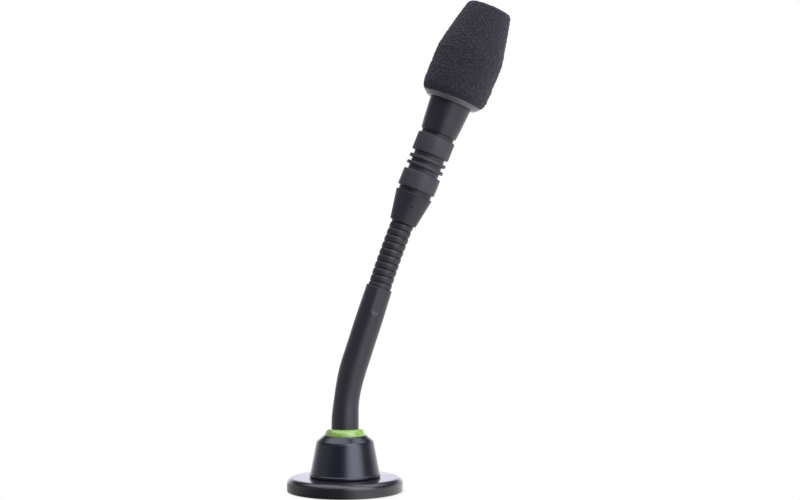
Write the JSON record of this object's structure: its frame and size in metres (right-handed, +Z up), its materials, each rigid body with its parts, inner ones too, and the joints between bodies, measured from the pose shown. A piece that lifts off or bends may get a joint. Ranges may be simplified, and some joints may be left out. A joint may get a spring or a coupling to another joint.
{
  "type": "gooseneck podium microphone",
  "caption": "Small podium microphone: round flanged base with a lit ring, jacketed stem, flexible wound neck, rubber-isolated head and a foam windscreen.",
  "frame": {"origin": "centre of the flange's resting plane, which is the underside of its gasket", "axes": "+Z up out of the base along its axis, +X the way the stem leans, the object is symmetric about the XZ plane but for its screws and pins"},
  "size_m": [0.1008, 0.0526, 0.2221],
  "materials": {
    "flange_black": "gloss black enamel",
    "gasket_rubber": "matte black rubber",
    "hub_black": "gloss black enamel over a die casting",
    "screw_steel": "zinc plated",
    "screw_black": "black oxide",
    "nickel_metal": "dull nickel",
    "post_alloy": "plain turned",
    "link_steel": "plain steel",
    "insulator_black": "matte black moulding",
    "contact_gold": "gold flashed",
    "board_green": "solder mask",
    "component_black": "epoxy",
    "led_clear": "clear lens",
    "ring_green": "translucent green moulding",
    "jacket_black": "satin black sleeve",
    "cable_black": "matte black sheath",
    "coil_black": "satin black",
    "adapter_black": "matte black anodised",
    "gap_black": "matte black anodised",
    "grip_rubber": "matte dark grey rubber",
    "housing_black": "satin black anodised",
    "diaphragm_film": "metallised film",
    "grille_metal": "dark plated",
    "collar_grey": "satin grey moulding",
    "foam_black": "open-cell foam"
  },
  "bodies": {
    "base": {"flange_plate": "flange_black", "base_gasket": "gasket_rubber", "hub_housing": "hub_black", "hub_screws": "screw_steel", "output_shell": "nickel_metal", "output_nut": "nickel_metal", "output_insert": "insulator_black", "output_pins": "contact_gold", "board_spacer": "insulator_black", "preamp_board": "board_green", "board_components": "component_black", "neck_socket": "nickel_metal", "socket_insert": "insulator_black", "socket_contacts": "contact_gold", "led_board": "board_green", "led_leads": "contact_gold", "status_leds": "led_clear", "light_ring": "ring_green", "neck_plug": "nickel_metal", "plug_insert": "insulator_black", "neck_grub_screw": "screw_steel", "neck_jacket": "jacket_black", "signal_cable": "cable_black"},
    "stem_link_1": {"stem_link_1": "link_steel"},
    "stem_link_2": {"stem_link_2": "link_steel"},
    "stem_link_3": {"stem_link_3": "link_steel"},
    "stem_link_4": {"stem_link_4": "link_steel"},
    "stem_link_5": {"stem_link_5": "link_steel"},
    "stem_link_6": {"stem_link_6": "link_steel"},
    "stem_link_7": {"stem_link_7": "link_steel"},
    "stem": {"stem_tube": "nickel_metal", "coil_anchor": "coil_black"},
    "coil_turn_1": {"coil_turn_1": "coil_black"},
    "coil_turn_2": {"coil_turn_2": "coil_black"},
    "coil_turn_3": {"coil_turn_3": "coil_black"},
    "coil_turn_4": {"coil_turn_4": "coil_black"},
    "coil_turn_5": {"coil_turn_5": "coil_black"},
    "coil_turn_6": {"coil_turn_6": "coil_black"},
    "coil_turn_7": {"coil_turn_7": "coil_black"},
    "coil_turn_8": {"coil_turn_8": "coil_black"},
    "coil_turn_9": {"coil_turn_9": "coil_black"},
    "adapter": {"head_adapter": "adapter_black", "head_grub_screw": "screw_black", "adapter_ring": "gap_black", "lower_post": "post_alloy"},
    "isolator": {"shock_mount": "grip_rubber"},
    "head": {"upper_post": "post_alloy", "housing_ring": "gap_black", "capsule_housing": "housing_black", "capsule_board": "board_green", "capsule_leads": "contact_gold", "capsule_seat": "gasket_rubber", "capsule_can": "nickel_metal", "capsule_backplate": "contact_gold", "capsule_diaphragm": "diaphragm_film", "head_grille": "grille_metal"},
    "windscreen": {"windscreen_collar": "collar_grey", "windscreen_foam": "foam_black"}
  },
  "joints": [
    {"name": "stem_bend_1", "type": "hinge", "parent": "base", "child": "stem_link_1", "pos_m": [0.00002, 0, 0.0318], "axis": [0.0006, 1, 0.0004], "range_deg": [-13.5, 4.5], "stiffness_Nm_per_rad": 4, "deforming": ["neck_jacket", "signal_cable"]},
    {"name": "stem_sway_1", "type": "hinge", "parent": "stem_link_1", "child": "stem_link_2", "pos_m": [0.00016, 0, 0.0354], "axis": [0.9983, 0, -0.0589], "range_deg": [-9, 9], "stiffness_Nm_per_rad": 4},
    {"name": "stem_bend_2", "type": "hinge", "parent": "stem_link_2", "child": "stem_link_3", "pos_m": [0.00044, 0, 0.03899], "axis": [0.0006, 1, 0.0004], "range_deg": [-13.5, 4.5], "stiffness_Nm_per_rad": 4},
    {"name": "stem_sway_2", "type": "hinge", "parent": "stem_link_3", "child": "stem_link_4", "pos_m": [0.00086, 0, 0.04256], "axis": [0.9906, 0, -0.137], "range_deg": [-9, 9], "stiffness_Nm_per_rad": 4},
    {"name": "stem_bend_3", "type": "hinge", "parent": "stem_link_4", "child": "stem_link_5", "pos_m": [0.00143, 0, 0.04612], "axis": [0.0006, 1, 0.0004], "range_deg": [-13.5, 4.5], "stiffness_Nm_per_rad": 4},
    {"name": "stem_sway_3", "type": "hinge", "parent": "stem_link_5", "child": "stem_link_6", "pos_m": [0.00213, 0, 0.04965], "axis": [0.9768, 0, -0.2143], "range_deg": [-9, 9], "stiffness_Nm_per_rad": 4},
    {"name": "stem_bend_4", "type": "hinge", "parent": "stem_link_6", "child": "stem_link_7", "pos_m": [0.00297, 0, 0.05315], "axis": [0.0006, 1, 0.0004], "range_deg": [-13.5, 4.5], "stiffness_Nm_per_rad": 4},
    {"name": "stem_sway_4", "type": "hinge", "parent": "stem_link_7", "child": "stem", "pos_m": [0.00395, 0, 0.05661], "axis": [0.9569, 0, -0.2903], "range_deg": [-9, 9], "stiffness_Nm_per_rad": 4},
    {"name": "neck_bend_1", "type": "hinge", "parent": "stem", "child": "coil_turn_1", "pos_m": [0.01606, 0, 0.09395], "axis": [0.0006, 1, 0.0004], "range_deg": [-8.76, 7.24], "stiffness_Nm_per_rad": 4},
    {"name": "neck_sway_1", "type": "hinge", "parent": "coil_turn_1", "child": "coil_turn_2", "pos_m": [0.01705, 0, 0.09692], "axis": [0.9479, 0, -0.3185], "range_deg": [-8, 8], "stiffness_Nm_per_rad": 4},
    {"name": "neck_bend_2", "type": "hinge", "parent": "coil_turn_2", "child": "coil_turn_3", "pos_m": [0.01805, 0, 0.09987], "axis": [0.0006, 1, 0.0004], "range_deg": [-8.76, 7.24], "stiffness_Nm_per_rad": 4},
    {"name": "neck_sway_2", "type": "hinge", "parent": "coil_turn_3", "child": "coil_turn_4", "pos_m": [0.01908, 0, 0.10282], "axis": [0.9436, 0, -0.331], "range_deg": [-8, 8], "stiffness_Nm_per_rad": 4},
    {"name": "neck_bend_3", "type": "hinge", "parent": "coil_turn_4", "child": "coil_turn_5", "pos_m": [0.02012, 0, 0.10576], "axis": [0.0006, 1, 0.0004], "range_deg": [-8.76, 7.24], "stiffness_Nm_per_rad": 4},
    {"name": "neck_sway_3", "type": "hinge", "parent": "coil_turn_5", "child": "coil_turn_6", "pos_m": [0.02118, 0, 0.10869], "axis": [0.9392, 0, -0.3435], "range_deg": [-8, 8], "stiffness_Nm_per_rad": 4},
    {"name": "neck_bend_4", "type": "hinge", "parent": "coil_turn_6", "child": "coil_turn_7", "pos_m": [0.02226, 0, 0.11162], "axis": [0.0006, 1, 0.0004], "range_deg": [-8.76, 7.24], "stiffness_Nm_per_rad": 4},
    {"name": "neck_sway_4", "type": "hinge", "parent": "coil_turn_7", "child": "coil_turn_8", "pos_m": [0.02336, 0, 0.11454], "axis": [0.9345, 0, -0.3559], "range_deg": [-8, 8], "stiffness_Nm_per_rad": 4},
    {"name": "neck_bend_5", "type": "hinge", "parent": "coil_turn_8", "child": "coil_turn_9", "pos_m": [0.02448, 0, 0.11745], "axis": [0.0006, 1, 0.0004], "range_deg": [-8.76, 7.24], "stiffness_Nm_per_rad": 4},
    {"name": "neck_sway_5", "type": "hinge", "parent": "coil_turn_9", "child": "adapter", "pos_m": [0.02562, 0, 0.12035], "axis": [0.9297, 0, -0.3683], "range_deg": [-8, 8], "stiffness_Nm_per_rad": 4},
    {"name": "isolator_bend", "type": "hinge", "parent": "adapter", "child": "isolator", "pos_m": [0.03593, 0, 0.14613], "axis": [0.0006, 1, 0.0004], "range_deg": [-4, 4], "stiffness_Nm_per_rad": 0.6, "deforming": ["shock_mount"]},
    {"name": "isolator_sway", "type": "hinge", "parent": "isolator", "child": "head", "pos_m": [0.03779, 0, 0.15077], "axis": [0.9285, 0, -0.3714], "range_deg": [-4, 4], "stiffness_Nm_per_rad": 0.6},
    {"name": "windscreen_pull", "type": "slide", "parent": "head", "child": "windscreen", "axis": [0.3714, 0, 0.9285], "range_m": [0, 0.05]}
  ],
  "couplings": [
    {"joint": "stem_bend_2", "follows": "stem_bend_1", "ratio": 1},
    {"joint": "stem_sway_2", "follows": "stem_sway_1", "ratio": 1},
    {"joint": "stem_bend_3", "follows": "stem_bend_1", "ratio": 1},
    {"joint": "stem_sway_3", "follows": "stem_sway_1", "ratio": 1},
    {"joint": "stem_bend_4", "follows": "stem_bend_1", "ratio": 1},
    {"joint": "stem_sway_4", "follows": "stem_sway_1", "ratio": 1},
    {"joint": "neck_bend_2", "follows": "neck_bend_1", "ratio": 1},
    {"joint": "neck_sway_2", "follows": "neck_sway_1", "ratio": 1},
    {"joint": "neck_bend_3", "follows": "neck_bend_1", "ratio": 1},
    {"joint": "neck_sway_3", "follows": "neck_sway_1", "ratio": 1},
    {"joint": "neck_bend_4", "follows": "neck_bend_1", "ratio": 1},
    {"joint": "neck_sway_4", "follows": "neck_sway_1", "ratio": 1},
    {"joint": "neck_bend_5", "follows": "neck_bend_1", "ratio": 1},
    {"joint": "neck_sway_5", "follows": "neck_sway_1", "ratio": 1}
  ]
}
